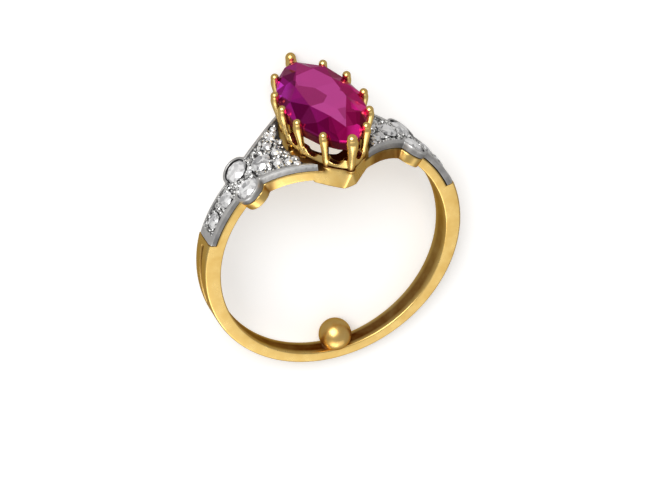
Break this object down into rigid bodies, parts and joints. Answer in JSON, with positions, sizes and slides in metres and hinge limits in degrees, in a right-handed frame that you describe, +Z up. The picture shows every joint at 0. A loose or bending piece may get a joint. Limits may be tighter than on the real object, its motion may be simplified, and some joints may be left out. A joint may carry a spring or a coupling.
{
  "type": "solitaire ring with diamond-set shoulders",
  "caption": "Antique-style gold finger ring with a claw-set marquise ruby, diamond-set silver shoulders and a sizing ball inside the hoop.",
  "frame": {"origin": "centre of the bounding box's bottom, on the surface the ring lies on", "axes": "+Z up, +X across the hoop, +Y from the hoop's foot towards the head. The ring lies on its side as it rests by itself, so the finger's axis leans about 14 degrees from +Z, away from the head, and about 4 degrees across."},
  "size_m": [0.0188, 0.0222, 0.0115],
  "materials": {
    "gold": "polished yellow gold, lightly worn",
    "silver": "polished silver, darkened in the hollows",
    "ruby": "polished facets, purplish red",
    "diamond": "polished facets, colourless"
  },
  "bodies": {
    "root": {"gold_mount": "gold", "silver_top_left": "silver", "silver_top_right": "silver", "ruby": "ruby", "diamond_left_1": "diamond", "diamond_left_2": "diamond", "diamond_left_3": "diamond", "diamond_left_4": "diamond", "diamond_left_5": "diamond", "diamond_left_6": "diamond", "diamond_left_7": "diamond", "diamond_left_8": "diamond", "diamond_left_9": "diamond", "diamond_left_10": "diamond", "diamond_left_11": "diamond", "diamond_left_12": "diamond", "diamond_left_13": "diamond", "diamond_right_1": "diamond", "diamond_right_2": "diamond", "diamond_right_3": "diamond", "diamond_right_4": "diamond", "diamond_right_5": "diamond", "diamond_right_6": "diamond", "diamond_right_7": "diamond", "diamond_right_8": "diamond", "diamond_right_9": "diamond", "diamond_right_10": "diamond", "diamond_right_11": "diamond", "diamond_right_12": "diamond", "diamond_right_13": "diamond"}
  },
  "joints": []
}
